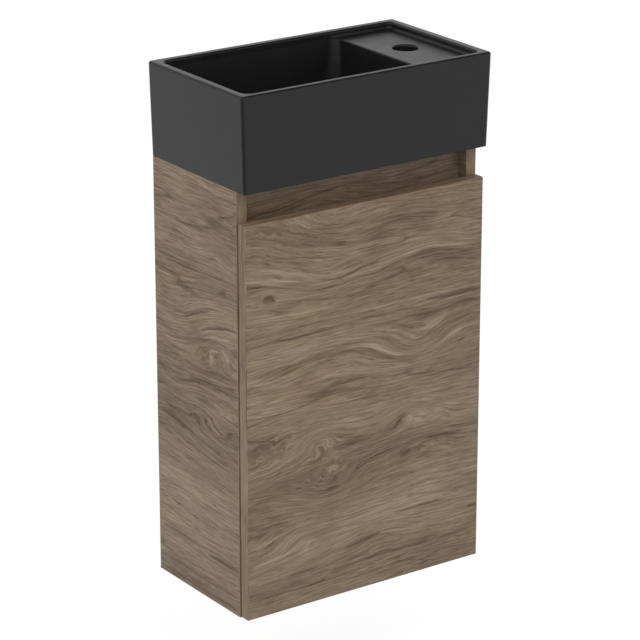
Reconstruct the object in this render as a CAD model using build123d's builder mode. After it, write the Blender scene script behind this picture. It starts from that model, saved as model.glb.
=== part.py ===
from build123d import *
import os

# Wall-hung cloakroom vanity: a ceramic basin on a one-door cabinet.
# Millimetres. X runs to the right, +Y towards the wall, Z up.
# The origin lies on the wall plane, at mid-width, level with the cabinet's underside.

os.makedirs("parts", exist_ok=True)

# Driving dimensions of the whole unit
BASIN_WIDTH = 400.0
BASIN_DEPTH = 224.0
BASIN_HEIGHT = 130.0
CABINET_WIDTH = 388.0
CABINET_DEPTH = 200.0
CABINET_HEIGHT = 600.0
BOARD = 16.0
BAND = 1.0
RIM_Z = CABINET_HEIGHT + BASIN_HEIGHT
SIDES = (-1, 1)

# Basin
SIDE_TAPER = 4.0
FRONT_TAPER = 1.5
OUTER_CORNER = 4.5
RIM_EDGE = 3.0
INNER_LEFT, INNER_RIGHT = -187.0, 186.0
INNER_FRONT, INNER_BACK = -213.0, -13.0
BOWL_RIGHT = 96.0
BOWL_DEPTH = 95.0
BOWL_DRAFT = 7.0
BOWL_CORNER, BOWL_FLOOR_CORNER = 12.0, 26.0
BOWL_FLOOR_FILLET = 14.0
LEDGE_DROP = 10.0
LEDGE_CORNER = 7.0
LEDGE_COVE = 4.0
LEDGE_LIP = 2.0
TAP_X, TAP_Y = 141.0, -110.0
TAP_RADIUS = 17.5
TAP_LIP = 2.5
WASTE_RADIUS = 23.0
WASTE_SEAT_DROP, WASTE_SEAT_WIDTH = 3.0, 9.0
SHELL = 12.0
FOOT_RING = 14.0
FOOT_FRONT = 46.5
FOOT_HEIGHT = 14.0
HOLLOW_CORNER = 8.0
SEALANT = 3.0

# Carcass
INSIDE = CABINET_WIDTH / 2 - BOARD
RAIL_SETBACK = 18.0
RAIL_HEIGHT = 80.0
RAIL_FLOOR_DEPTH = 50.0
REAR_RAIL_DEPTH = 40.0
BACK_THICKNESS = 6.0
BACK_GAP = 16.0
BACK_GROOVE = 6.0
PIPE_OPENING = (220.0, 130.0)
PIPE_OPENING_Z = 415.0
PIPE_OPENING_CORNER = 12.0
SHELF_Z = 250.0
SHELF_END_GAP = 1.0
SHELF_FRONT_Y = -178.0
SHELF_PIN_RADIUS, SHELF_PIN_OUT, SHELF_PIN_IN = 2.5, 8.0, 9.0
SHELF_PIN_Y = (-150.0, -50.0)
DOWEL_RADIUS, DOWEL_IN_EDGE, DOWEL_IN_SIDE = 4.0, 20.0, 10.0
CAM_RADIUS, CAM_DEPTH, CAM_INSET = 7.5, 12.5, 34.0
CAM_SLOT = (4.5, 0.7, 3.0)
CAM_BOLT_RADIUS, CAM_THREAD_RADIUS, CAM_THREAD = 3.0, 2.5, 10.0
CAM_BOLT_ENTRY = 2.0

# Hangers and the wall plates that they hook on
HANGER_Z = 520.0
HANGER_WIDTH, HANGER_DEPTH, HANGER_HEIGHT = 14.0, 38.0, 56.0
HANGER_SCREW_Z = (HANGER_Z + 12, HANGER_Z + 42)
HANGER_ADJUSTER_Z = (HANGER_Z + 18, HANGER_Z + 36)
HOOK_TOP, HOOK_THICKNESS, HOOK_TIP_Y = 573.0, 3.0, -3.4
WALL_PLATE = 2.0
WALL_PLATE_X = (128.0, 177.0)
WALL_LIP_Y = 8.0
WALL_HOLE_RADIUS = 2.75
WALL_HOLE_X = 145.0
WALL_HOLE_Z = (534.0, 552.0)

# Door
DOOR_WIDTH = 386.0
DOOR_BOTTOM, DOOR_TOP = 1.5, 556.0
DOOR_GAP = 2.0
DOOR_EDGE = 0.5
BUMPER_RADIUS, BUMPER_THICKNESS = 4.0, 1.7
BUMPER_X, BUMPER_Z = -186.0, (60.0, 496.0)

# Concealed hinges on the right side panel. A hinge plan point is (inwards from the
# panel's inner face, forwards from the panels' front edge).
HINGE_HEIGHTS = (92.0, 466.0)
CUP_CENTRE_IN = 5.5
CUP_RADIUS, CUP_INNER_RADIUS = 17.5, 16.3
CUP_DEPTH, CUP_FLOOR = 11.5, 0.9
FLANGE = 1.3
CUP_SCREW_IN, CUP_SCREW_SPACING = 11.5, 48.0
# each link's path starts at its arm pin and ends just short of its cup pin
OUTER_LINK_PATH = ((11.14, -3.88), (9.48, -0.80), (-5.31, 11.51), (-7.55, 9.07))
INNER_LINK_PATH = ((17.43, 0.40), (9.16, 3.47), (-5.37, 8.09), (-6.12, 7.37))
OUTER_CUP_PIN, OUTER_CUP_PIN_HALF = (-8.89, 7.62), 8.4
INNER_CUP_PIN, INNER_CUP_PIN_LOW, INNER_CUP_PIN_HIGH = (-7.55, 6.0), 4.7, 10.3
ARM_PIN_RADIUS, CUP_PIN_RADIUS, PIN_CLEARANCE = 1.0, 0.9, 0.05
KNUCKLE_RADIUS, LINK_THICKNESS = 2.0, 1.5
OUTER_LINK_HALF = 4.4
INNER_LINK_LOW, INNER_LINK_HIGH = 4.7, 6.0
ARM_LOW, ARM_HALF = 6.2, 7.6
ARM_TOP_IN, ARM_WEB_IN = 10.4, 9.0
ARM_REAR, ARM_BEND = -62.0, -22.0
ARM_SCREW_BACK = -52.0
HINGE_PLATE, HINGE_PLATE_WIDTH, HINGE_PLATE_LENGTH = 2.4, 13.0, 50.0
HINGE_PLATE_BACK, HINGE_PLATE_CORNER = -37.0, 5.0
RIDGE_HALF = 5.0

# Screws: head radius and height, shank radius and length
HANGER_SCREW = (3.5, 1.8, 1.75, 25.0)
HANGER_ADJUSTER = (3.6, 1.5, 2.5, 12.0)
CUP_SCREW = (3.4, 0.7, 1.75, 12.0)
PLATE_SCREW, PLATE_SCREW_SPACING = (3.5, 1.4, 1.75, 14.0), 32.0
ARM_SCREW = (3.4, 1.6, 2.0, 8.0)


def plan(point):
    """World X and Y of a hinge plan point."""
    inwards, forwards = point
    return INSIDE - inwards, -CABINET_DEPTH - forwards


def block(x_ends, y_ends, z_ends, mode=Mode.ADD):
    """A box between two X, two Y and two Z values."""
    spans = (x_ends, y_ends, z_ends)
    with Locations(tuple(sum(ends) / 2 for ends in spans)):
        Box(*(abs(ends[1] - ends[0]) for ends in spans), mode=mode)


def bore_for(*fittings):
    """Cuts the open part back from the solids that sit in it."""
    for fitting in fittings:
        add(fitting.part, mode=Mode.SUBTRACT)


def along_x(x, y, z, sense):
    """A place whose local Z points along world X, to the right (1) or to the left (-1)."""
    return Location(Plane(origin=(x, y, z), x_dir=(0, 1, 0), z_dir=(sense, 0, 0)))


def along_y(x, y, z, sense):
    """A place whose local Z points along world Y, to the wall (1) or to the front (-1)."""
    return Location(Plane(origin=(x, y, z), x_dir=(1, 0, 0), z_dir=(0, sense, 0)))


def rod(place, radius, length):
    """A cylinder that starts at a place and runs along its local Z."""
    with Locations(place):
        Cylinder(radius, length, align=(Align.CENTER, Align.CENTER, Align.MIN))


def cross_slot(place, half_length, half_width, depth):
    """A cross-shaped drive slot, sunk from a place along its local Z."""
    sunk = (Align.CENTER, Align.CENTER, Align.MIN)
    with Locations(place):
        Box(2 * half_length, 2 * half_width, depth, align=sunk, mode=Mode.SUBTRACT)
        Box(2 * half_width, 2 * half_length, depth, align=sunk, mode=Mode.SUBTRACT)


def pan_screw(place, head_radius, head_height, shank_radius, length):
    """A screw whose head stands above a place and whose shank runs below it."""
    with Locations(place):
        Cylinder(head_radius, head_height, align=(Align.CENTER, Align.CENTER, Align.MIN))
        Cylinder(shank_radius, length, align=(Align.CENTER, Align.CENTER, Align.MAX))
    cross_slot(place * Location((0, 0, head_height / 2)), head_radius * 0.55, head_radius * 0.14, head_height)


def finish(builder, name):
    """Names a finished piece and writes its file."""
    builder.part.label = name
    export_step(builder.part, f"parts/{name}.step")


# Basin: tapered outer block, bowl, tap ledge, hollow underside
foot_half = BASIN_WIDTH / 2 - SIDE_TAPER
foot_depth = BASIN_DEPTH - FRONT_TAPER
hollow_half = foot_half - FOOT_RING
hollow_front = -foot_depth + FOOT_FRONT
middle_y = (INNER_FRONT + INNER_BACK) / 2
inner_depth = INNER_BACK - INNER_FRONT
bowl_x = (INNER_LEFT + BOWL_RIGHT) / 2
bowl_width = BOWL_RIGHT - INNER_LEFT
ledge_z = RIM_Z - LEDGE_DROP
bowl_floor_z = RIM_Z - BOWL_DEPTH

with BuildPart() as ledge_pocket:
    # the pocket runs into the bowl's space on its left
    pocket_left = BOWL_RIGHT - 2 * BOWL_CORNER
    with BuildSketch(Plane.XY.offset(ledge_z)):
        with Locations(((pocket_left + INNER_RIGHT) / 2, middle_y)):
            pocket_outline = Rectangle(INNER_RIGHT - pocket_left, inner_depth)
        fillet(pocket_outline.vertices().group_by(Axis.X)[-1], LEDGE_CORNER)
    extrude(amount=LEDGE_DROP)
    fillet(ledge_pocket.faces().sort_by(Axis.Z)[0].edges().sort_by(Axis.X)[1:], LEDGE_COVE)

with BuildPart() as basin:
    with BuildSketch(Plane.XY.offset(CABINET_HEIGHT)):
        with Locations((0, -foot_depth / 2)):
            Rectangle(2 * foot_half, foot_depth)
    with BuildSketch(Plane.XY.offset(RIM_Z)):
        with Locations((0, -BASIN_DEPTH / 2)):
            Rectangle(BASIN_WIDTH, BASIN_DEPTH)
    loft()
    fillet([edge for edge in basin.edges() if abs(edge.tangent_at(0.5).Z) > 0.9], OUTER_CORNER)
    fillet(basin.faces().sort_by(Axis.Z)[-1].edges(), RIM_EDGE)

    # Bowl: straight down to the ledge's level, then drawn in towards its floor
    with BuildSketch(Plane.XY.offset(RIM_Z)):
        with Locations((bowl_x, middle_y)):
            RectangleRounded(bowl_width, inner_depth, BOWL_CORNER)
    extrude(amount=-LEDGE_DROP, mode=Mode.SUBTRACT)
    with BuildSketch(Plane.XY.offset(ledge_z)):
        with Locations((bowl_x, middle_y)):
            RectangleRounded(bowl_width, inner_depth, BOWL_CORNER)
    with BuildSketch(Plane.XY.offset(bowl_floor_z)):
        with Locations((bowl_x, middle_y)):
            RectangleRounded(bowl_width - 2 * BOWL_DRAFT, inner_depth - 2 * BOWL_DRAFT, BOWL_FLOOR_CORNER)
    loft(mode=Mode.SUBTRACT)
    floor = basin.faces().filter_by(Axis.Z).filter_by_position(Axis.Z, bowl_floor_z - 1, bowl_floor_z + 1)
    fillet(floor.edges(), BOWL_FLOOR_FILLET)

    add(ledge_pocket.part, mode=Mode.SUBTRACT)
    rim_face = basin.faces().filter_by(Axis.Z).sort_by(Axis.Z)[-1]
    fillet(rim_face.inner_wires()[0].edges(), RIM_EDGE)
    lip = basin.edges().filter_by(Axis.Y).filter_by_position(Axis.X, BOWL_RIGHT - 1, BOWL_RIGHT + 1)
    fillet(lip.filter_by_position(Axis.Z, ledge_z - 1, ledge_z + 1), LEDGE_LIP)

    # Tap hole with a rounded lip, and waste hole with its conical seat
    with Locations((TAP_X, TAP_Y, ledge_z)):
        Cylinder(TAP_RADIUS, 4 * SHELL, mode=Mode.SUBTRACT)
    with Locations((bowl_x, middle_y, bowl_floor_z)):
        Cylinder(WASTE_RADIUS, 4 * SHELL, mode=Mode.SUBTRACT)
    tap_rim = basin.edges().filter_by(GeomType.CIRCLE)
    tap_rim = tap_rim.filter_by_position(Axis.Z, ledge_z - 1, ledge_z + 1)
    fillet([edge for edge in tap_rim if abs(edge.radius - TAP_RADIUS) < 0.1], TAP_LIP)
    with Locations((bowl_x, middle_y, bowl_floor_z - WASTE_SEAT_DROP / 2)):
        Cone(WASTE_RADIUS, WASTE_RADIUS + WASTE_SEAT_WIDTH, WASTE_SEAT_DROP, mode=Mode.SUBTRACT)

    # Hollow underside: a shallow space below the bowl and a deep one below the ledge
    with BuildSketch(Plane.XY.offset(CABINET_HEIGHT)):
        with Locations((0, (hollow_front - FOOT_RING) / 2)):
            RectangleRounded(2 * hollow_half, -FOOT_RING - hollow_front, HOLLOW_CORNER)
    extrude(amount=bowl_floor_z - SHELL - CABINET_HEIGHT, mode=Mode.SUBTRACT)
    deep_left, deep_front = BOWL_RIGHT + SHELL, INNER_FRONT + SHELL / 2
    with BuildSketch(Plane.XY.offset(CABINET_HEIGHT + FOOT_HEIGHT)):
        with Locations(((deep_left + hollow_half) / 2, (deep_front - FOOT_RING) / 2)):
            RectangleRounded(hollow_half - deep_left, -FOOT_RING - deep_front, HOLLOW_CORNER)
    extrude(amount=ledge_z - SHELL - CABINET_HEIGHT - FOOT_HEIGHT, mode=Mode.SUBTRACT)
finish(basin, "basin")

# Sealant beads between the basin's foot and the side panels
bead_start = FOOT_RING + HOLLOW_CORNER + 2
with BuildPart() as basin_sealant:
    with BuildSketch(Plane.XZ.offset(bead_start)):
        for side in SIDES:
            with BuildLine():
                Polyline(
                    (side * hollow_half, CABINET_HEIGHT),
                    (side * (hollow_half - SEALANT), CABINET_HEIGHT),
                    (side * hollow_half, CABINET_HEIGHT + SEALANT),
                    close=True,
                )
            make_face()
    extrude(amount=-hollow_front - HOLLOW_CORNER - 2 - bead_start)
finish(basin_sealant, "basin_sealant")


# Carcass fasteners in the ends of the cross pieces
BOTTOM_Z = BOARD / 2
REAR_RAIL_Z = CABINET_HEIGHT - BOARD / 2
RAIL_FLOOR_Z = CABINET_HEIGHT - RAIL_HEIGHT - BOARD / 2
RAIL_Y = -CABINET_DEPTH + RAIL_SETBACK + BOARD / 2
RAIL_FLOOR_Y = -CABINET_DEPTH + RAIL_FLOOR_DEPTH / 2
BACK_FRONT_Y = -BACK_GAP - BACK_THICKNESS
REAR_RAIL_Y = BACK_FRONT_Y - REAR_RAIL_DEPTH / 2
DOWEL_PLACES = [
    (-140.0, BOTTOM_Z),
    (-60.0, BOTTOM_Z),
    (RAIL_Y, CABINET_HEIGHT - 15),
    (RAIL_Y, CABINET_HEIGHT - 65),
    (RAIL_FLOOR_Y - 12, RAIL_FLOOR_Z),
    (REAR_RAIL_Y + 12, REAR_RAIL_Z),
]
# A cam's Y and Z, and the face that it sits in
CAM_PLACES = [
    (-170.0, BOTTOM_Z, "under"),
    (-30.0, BOTTOM_Z, "under"),
    (RAIL_Y, CABINET_HEIGHT - 40, "rear"),
    (RAIL_FLOOR_Y + 8, RAIL_FLOOR_Z, "under"),
    (REAR_RAIL_Y - 8, REAR_RAIL_Z, "under"),
]

with BuildPart() as carcass_dowels:
    for y, z in DOWEL_PLACES:
        for side in SIDES:
            place = along_x(side * (INSIDE - DOWEL_IN_EDGE), y, z, side)
            rod(place, DOWEL_RADIUS, DOWEL_IN_EDGE + DOWEL_IN_SIDE)
finish(carcass_dowels, "carcass_dowels")

with BuildPart() as cam_bolts:
    for y, z, _ in CAM_PLACES:
        for side in SIDES:
            shank = CAM_INSET - CAM_RADIUS + CAM_BOLT_ENTRY
            rod(along_x(side * (INSIDE - shank), y, z, side), CAM_BOLT_RADIUS, shank)
            rod(along_x(side * INSIDE, y, z, side), CAM_THREAD_RADIUS, CAM_THREAD)
finish(cam_bolts, "cam_bolts")

cam_mouths = []
for y, z, face in CAM_PLACES:
    for x in (CAM_INSET - INSIDE, INSIDE - CAM_INSET):
        under = Location((x, y, z - BOARD / 2))
        cam_mouths.append(under if face == "under" else along_y(x, y + BOARD / 2, z, -1))

with BuildPart() as cam_bores:
    for mouth in cam_mouths:
        rod(mouth, CAM_RADIUS, CAM_DEPTH)

with BuildPart() as cam_housings:
    add(cam_bores.part)
    for mouth in cam_mouths:
        cross_slot(mouth, *CAM_SLOT)
    bore_for(cam_bolts)
finish(cam_housings, "cam_housings")

with BuildPart() as shelf_pins:
    for y in SHELF_PIN_Y:
        for side in SIDES:
            place = along_x(side * (INSIDE - SHELF_PIN_OUT), y, SHELF_Z - SHELF_PIN_RADIUS, side)
            rod(place, SHELF_PIN_RADIUS, SHELF_PIN_OUT + SHELF_PIN_IN)
finish(shelf_pins, "shelf_pins")

# Cabinet hangers: a housing on each side panel, whose hook passes through the back
HANGER_Y = (BACK_FRONT_Y - HANGER_DEPTH, BACK_FRONT_Y - 0.5)
HANGER_INNER = INSIDE - HANGER_WIDTH

with BuildPart() as hanger_screws:
    for side in SIDES:
        for z in HANGER_SCREW_Z:
            place = along_x(side * HANGER_INNER, sum(HANGER_Y) / 2, z, -side)
            pan_screw(place, *HANGER_SCREW)
finish(hanger_screws, "hanger_screws")

with BuildPart() as hanger_adjusters:
    for side in SIDES:
        for z in HANGER_ADJUSTER_Z:
            place = along_y(side * (INSIDE - HANGER_WIDTH / 2), HANGER_Y[0], z, -1)
            pan_screw(place, *HANGER_ADJUSTER)
finish(hanger_adjusters, "hanger_adjusters")

LIP_TOP = HOOK_TOP - HOOK_THICKNESS
for side, side_name in zip(SIDES, ("left", "right")):
    hook_x = (side * (HANGER_INNER + 2), side * (HANGER_INNER + 12))
    with BuildPart() as hanger:
        block((side * HANGER_INNER, side * INSIDE), HANGER_Y, (HANGER_Z, HANGER_Z + HANGER_HEIGHT))
        fillet(hanger.edges().filter_by(Axis.Y), 1.5)
        block(hook_x, (HANGER_Y[1] - 4, HOOK_TIP_Y), (LIP_TOP, HOOK_TOP))
        block(hook_x, (HOOK_TIP_Y - 2, HOOK_TIP_Y), (HOOK_TOP - 10, HOOK_TOP))
        bore_for(hanger_screws, hanger_adjusters)
    finish(hanger, f"hanger_{side_name}")

    # a flat plate on the wall, whose upper edge steps out and up into a lip
    plate_x = (side * WALL_PLATE_X[0], side * WALL_PLATE_X[1])
    with BuildPart() as wall_plate:
        block(plate_x, (-WALL_PLATE, 0), (LIP_TOP - 46, LIP_TOP - 8))
        block(plate_x, (-WALL_LIP_Y, 0), (LIP_TOP - 10, LIP_TOP - 8))
        block(plate_x, (-WALL_LIP_Y, WALL_PLATE - WALL_LIP_Y), (LIP_TOP - 10, LIP_TOP))
        with Locations(*(along_y(side * WALL_HOLE_X, 0, z, 1) for z in WALL_HOLE_Z)):
            Hole(WALL_HOLE_RADIUS)
    finish(wall_plate, f"wall_plate_{side_name}")


# Hinge pieces, each as a group with one solid or more per hinge
def upright(point, radius, low, high):
    """An upright pin at a hinge plan point, between two heights."""
    with Locations((*plan(point), (low + high) / 2)):
        Cylinder(radius, high - low)


def link(path, low, high):
    """A cranked bar along a path of plan points, with a knuckle round its arm pin."""
    corners = [Vector(*plan(point)) for point in path]
    with BuildSketch(Plane.XY.offset(low)) as outline:
        with Locations(corners[0]):
            Circle(KNUCKLE_RADIUS)
        for start, end in zip(corners, corners[1:]):
            SlotCenterPoint((start + end) / 2, end, LINK_THICKNESS)
        with Locations(corners[0]):
            Circle(ARM_PIN_RADIUS + PIN_CLEARANCE, mode=Mode.SUBTRACT)
    extrude(outline.sketch, amount=high - low)


DOOR_BACK_Y = -CABINET_DEPTH - DOOR_GAP
DOOR_FRONT_Y = DOOR_BACK_Y - BOARD
CUP_X = INSIDE - CUP_CENTRE_IN

with BuildPart() as hinge_arm_pins:
    for height in HINGE_HEIGHTS:
        for path in (OUTER_LINK_PATH, INNER_LINK_PATH):
            upright(path[0], ARM_PIN_RADIUS, height - ARM_HALF, height + ARM_HALF)
finish(hinge_arm_pins, "hinge_arm_pins")

with BuildPart() as hinge_cup_pins:
    for height in HINGE_HEIGHTS:
        upright(OUTER_CUP_PIN, CUP_PIN_RADIUS, height - OUTER_CUP_PIN_HALF, height + OUTER_CUP_PIN_HALF)
        upright(INNER_CUP_PIN, CUP_PIN_RADIUS, height + INNER_CUP_PIN_LOW, height + INNER_CUP_PIN_HIGH)
        upright(INNER_CUP_PIN, CUP_PIN_RADIUS, height - INNER_CUP_PIN_HIGH, height - INNER_CUP_PIN_LOW)
finish(hinge_cup_pins, "hinge_cup_pins")

with BuildPart() as hinge_links_outer:
    for height in HINGE_HEIGHTS:
        link(OUTER_LINK_PATH, height - OUTER_LINK_HALF, height + OUTER_LINK_HALF)
finish(hinge_links_outer, "hinge_links_outer")

with BuildPart() as hinge_links_inner:
    for height in HINGE_HEIGHTS:
        link(INNER_LINK_PATH, height + INNER_LINK_LOW, height + INNER_LINK_HIGH)
        link(INNER_LINK_PATH, height - INNER_LINK_HIGH, height - INNER_LINK_LOW)
finish(hinge_links_inner, "hinge_links_inner")

with BuildPart() as hinge_cup_screws:
    for height in HINGE_HEIGHTS:
        for side in SIDES:
            z = height + side * CUP_SCREW_SPACING / 2
            pan_screw(along_y(INSIDE - CUP_SCREW_IN, DOOR_BACK_Y + FLANGE, z, 1), *CUP_SCREW)
finish(hinge_cup_screws, "hinge_cup_screws")

with BuildPart() as hinge_cups:
    for height in HINGE_HEIGHTS:
        with Locations(along_y(CUP_X, DOOR_BACK_Y, height, -1)):
            Cylinder(CUP_RADIUS, CUP_DEPTH, align=(Align.CENTER, Align.CENTER, Align.MIN))
        # flange on the door's back, cut off near the door's edge
        with BuildSketch(Plane.XZ.offset(-DOOR_BACK_Y)):
            with Locations((CUP_X, height)):
                Circle(CUP_RADIUS + 1.2)
            with Locations((CUP_X + 14.7 + 6, height)):
                Rectangle(12, 3 * CUP_RADIUS, mode=Mode.SUBTRACT)
            with Locations((INSIDE - CUP_SCREW_IN, height)):
                RectangleRounded(15, CUP_SCREW_SPACING + 13, 6)
        extrude(amount=-FLANGE)
        with Locations(along_y(CUP_X, DOOR_BACK_Y + FLANGE, height, -1)):
            inner_depth_of_cup = CUP_DEPTH + FLANGE - CUP_FLOOR
            Cylinder(
                CUP_INNER_RADIUS,
                inner_depth_of_cup,
                align=(Align.CENTER, Align.CENTER, Align.MIN),
                mode=Mode.SUBTRACT,
            )
    bore_for(hinge_cup_pins, hinge_cup_screws)
finish(hinge_cups, "hinge_cups")

with BuildPart() as hinge_plate_screws:
    for height in HINGE_HEIGHTS:
        for side in SIDES:
            z = height + side * PLATE_SCREW_SPACING / 2
            place = along_x(INSIDE - HINGE_PLATE, -CABINET_DEPTH - HINGE_PLATE_BACK, z, -1)
            pan_screw(place, *PLATE_SCREW)
finish(hinge_plate_screws, "hinge_plate_screws")

with BuildPart() as hinge_arm_screws:
    for height in HINGE_HEIGHTS:
        place = along_x(INSIDE - ARM_TOP_IN, -CABINET_DEPTH - ARM_SCREW_BACK, height, -1)
        pan_screw(place, *ARM_SCREW)
finish(hinge_arm_screws, "hinge_arm_screws")

with BuildPart() as hinge_plates:
    plate_middle = -CABINET_DEPTH - HINGE_PLATE_BACK
    plate_y = (plate_middle - HINGE_PLATE_WIDTH / 2, plate_middle + HINGE_PLATE_WIDTH / 2)
    ridge_y = (-CABINET_DEPTH - ARM_REAR - 1, -CABINET_DEPTH - ARM_BEND + 2)
    for height in HINGE_HEIGHTS:
        plate_z = (height - HINGE_PLATE_LENGTH / 2, height + HINGE_PLATE_LENGTH / 2)
        block((INSIDE - HINGE_PLATE, INSIDE), plate_y, plate_z)
        block((INSIDE - ARM_WEB_IN, INSIDE), ridge_y, (height - RIDGE_HALF, height + RIDGE_HALF))
    corners = hinge_plates.edges().filter_by(Axis.X)
    fillet(corners.filter_by(lambda edge: edge.length < HINGE_PLATE + 0.1), HINGE_PLATE_CORNER)
    bore_for(hinge_plate_screws, hinge_arm_screws)
finish(hinge_plates, "hinge_plates")

with BuildPart() as hinge_arms:
    # plan outline of a side wall, from its rear to the nose that holds the pins
    wall_outline = [
        (4.5, ARM_REAR),
        (ARM_TOP_IN, ARM_REAR),
        (ARM_TOP_IN, ARM_BEND),
        (19.2, -3.0),
        (19.2, 0.8),
        (17.8, 2.2),
        (15.6, 2.0),
        (8.6, -2.6),
        (8.0, -6.0),
        (4.5, ARM_BEND),
    ]
    web_outline = [
        (ARM_WEB_IN, ARM_REAR),
        (ARM_TOP_IN, ARM_REAR),
        (ARM_TOP_IN, ARM_BEND),
        (18.3, -5.0),
        (17.0, -4.6),
        (ARM_WEB_IN, ARM_BEND + 0.3),
    ]
    for height in HINGE_HEIGHTS:
        for low, high, outline in (
            (-ARM_HALF, -ARM_LOW, wall_outline),
            (ARM_LOW, ARM_HALF, wall_outline),
            (-ARM_HALF, ARM_HALF, web_outline),
        ):
            with BuildSketch(Plane.XY.offset(height + low)):
                with BuildLine():
                    Polyline(*(plan(point) for point in outline), close=True)
                make_face()
            extrude(amount=high - low)
    bore_for(hinge_arm_pins, hinge_arm_screws)
finish(hinge_arms, "hinge_arms")


# Carcass boards
def edge_band(x_ends, front_y, z_ends, name):
    """A band on a board's front edge, its outer corners slightly rounded."""
    with BuildPart() as band:
        block(x_ends, (front_y, front_y + BAND), z_ends)
        long_axis = Axis.X if abs(x_ends[1] - x_ends[0]) > abs(z_ends[1] - z_ends[0]) else Axis.Z
        fillet(band.edges().filter_by(long_axis).group_by(Axis.Y)[0], DOOR_EDGE)
    finish(band, name)


boards_full_y = (BAND - CABINET_DEPTH, 0)
for side, side_name in zip(SIDES, ("left", "right")):
    panel_x = (side * INSIDE, side * (INSIDE + BOARD))
    with BuildPart() as side_panel:
        block(panel_x, boards_full_y, (0, CABINET_HEIGHT))
        groove_x = (side * INSIDE, side * (INSIDE + BACK_GROOVE))
        block(groove_x, (BACK_FRONT_Y, -BACK_GAP), (BOARD, CABINET_HEIGHT), Mode.SUBTRACT)
        bore_for(carcass_dowels, cam_bolts, shelf_pins, hanger_screws)
        if side > 0:
            bore_for(hinge_plate_screws)
    finish(side_panel, f"side_panel_{side_name}")
    edge_band(panel_x, -CABINET_DEPTH, (0, CABINET_HEIGHT), f"side_edge_band_{side_name}")

across = (-INSIDE, INSIDE)
with BuildPart() as bottom_panel:
    block(across, boards_full_y, (0, BOARD))
    bore_for(carcass_dowels, cam_bolts, cam_bores)
finish(bottom_panel, "bottom_panel")
edge_band(across, -CABINET_DEPTH, (0, BOARD), "bottom_edge_band")

rail_floor_z = (RAIL_FLOOR_Z - BOARD / 2, RAIL_FLOOR_Z + BOARD / 2)
with BuildPart() as grip_rail_front:
    block(across, (RAIL_Y - BOARD / 2, RAIL_Y + BOARD / 2), (rail_floor_z[1], CABINET_HEIGHT))
    bore_for(carcass_dowels, cam_bolts, cam_bores)
finish(grip_rail_front, "grip_rail_front")

with BuildPart() as grip_rail_floor:
    block(across, (BAND - CABINET_DEPTH, RAIL_FLOOR_DEPTH - CABINET_DEPTH), rail_floor_z)
    bore_for(carcass_dowels, cam_bolts, cam_bores)
finish(grip_rail_floor, "grip_rail_floor")
edge_band(across, -CABINET_DEPTH, rail_floor_z, "grip_rail_edge_band")

with BuildPart() as rear_top_rail:
    rail_y = (BACK_FRONT_Y - REAR_RAIL_DEPTH, BACK_FRONT_Y)
    block(across, rail_y, (CABINET_HEIGHT - BOARD, CABINET_HEIGHT))
    bore_for(carcass_dowels, cam_bolts, cam_bores)
finish(rear_top_rail, "rear_top_rail")

with BuildPart() as back_panel:
    back_half = INSIDE + BACK_GROOVE
    block((-back_half, back_half), (BACK_FRONT_Y, -BACK_GAP), (BOARD, CABINET_HEIGHT))
    with BuildSketch(Plane.XZ.offset(BACK_GAP)):
        with Locations((0, PIPE_OPENING_Z)):
            RectangleRounded(*PIPE_OPENING, PIPE_OPENING_CORNER)
        with Locations(*((side * (HANGER_INNER + 7), HOOK_TOP - 3) for side in SIDES)):
            Rectangle(12, 12)
    extrude(amount=BACK_THICKNESS, mode=Mode.SUBTRACT)
finish(back_panel, "back_panel")

with BuildPart() as shelf:
    shelf_x = (SHELF_END_GAP - INSIDE, INSIDE - SHELF_END_GAP)
    shelf_z = (SHELF_Z, SHELF_Z + BOARD)
    block(shelf_x, (SHELF_FRONT_Y + BAND, BACK_FRONT_Y - 2), shelf_z)
finish(shelf, "shelf")
edge_band(shelf_x, SHELF_FRONT_Y, shelf_z, "shelf_edge_band")

# Door: board, bands on its four edges, and bumpers on its free side
door_half = DOOR_WIDTH / 2
door_y = (DOOR_FRONT_Y, DOOR_BACK_Y)
with BuildPart() as door_panel:
    block((BAND - door_half, door_half - BAND), door_y, (DOOR_BOTTOM + BAND, DOOR_TOP - BAND))
    for height in HINGE_HEIGHTS:
        with Locations(along_y(CUP_X, DOOR_BACK_Y, height, 1)):
            Cylinder(CUP_RADIUS, 2 * (CUP_DEPTH + 0.5), mode=Mode.SUBTRACT)
    bore_for(hinge_cup_screws)
finish(door_panel, "door_panel")

with BuildPart() as door_side_bands:
    for side in SIDES:
        block((side * (door_half - BAND), side * door_half), door_y, (DOOR_BOTTOM, DOOR_TOP))
    uprights = door_side_bands.edges().filter_by(Axis.Z).group_by(Axis.X)
    fillet(uprights[0] + uprights[-1], DOOR_EDGE)
finish(door_side_bands, "door_side_bands")

with BuildPart() as door_end_bands:
    for z_ends in ((DOOR_BOTTOM, DOOR_BOTTOM + BAND), (DOOR_TOP - BAND, DOOR_TOP)):
        block((BAND - door_half, door_half - BAND), door_y, z_ends)
    level_edges = door_end_bands.edges().filter_by(Axis.X).group_by(Axis.Z)
    fillet(level_edges[0] + level_edges[-1], DOOR_EDGE)
finish(door_end_bands, "door_end_bands")

with BuildPart() as door_bumpers:
    for z in BUMPER_Z:
        rod(along_y(BUMPER_X, DOOR_BACK_Y, z, 1), BUMPER_RADIUS, BUMPER_THICKNESS)
    fillet(door_bumpers.edges().group_by(Axis.Y)[-1], 0.8)
finish(door_bumpers, "door_bumpers")
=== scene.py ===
"""Looks of a wall-hung cloakroom vanity: a matt black basin on a wood-decor cabinet.

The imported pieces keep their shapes. The classes below give each sub-assembly its
finishes, and set up the floor, the light and the camera.
"""

import logging
import math
from dataclasses import dataclass
from enum import Enum
from typing import Union

import bmesh
import bpy
from mathutils import Matrix, Vector


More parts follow.
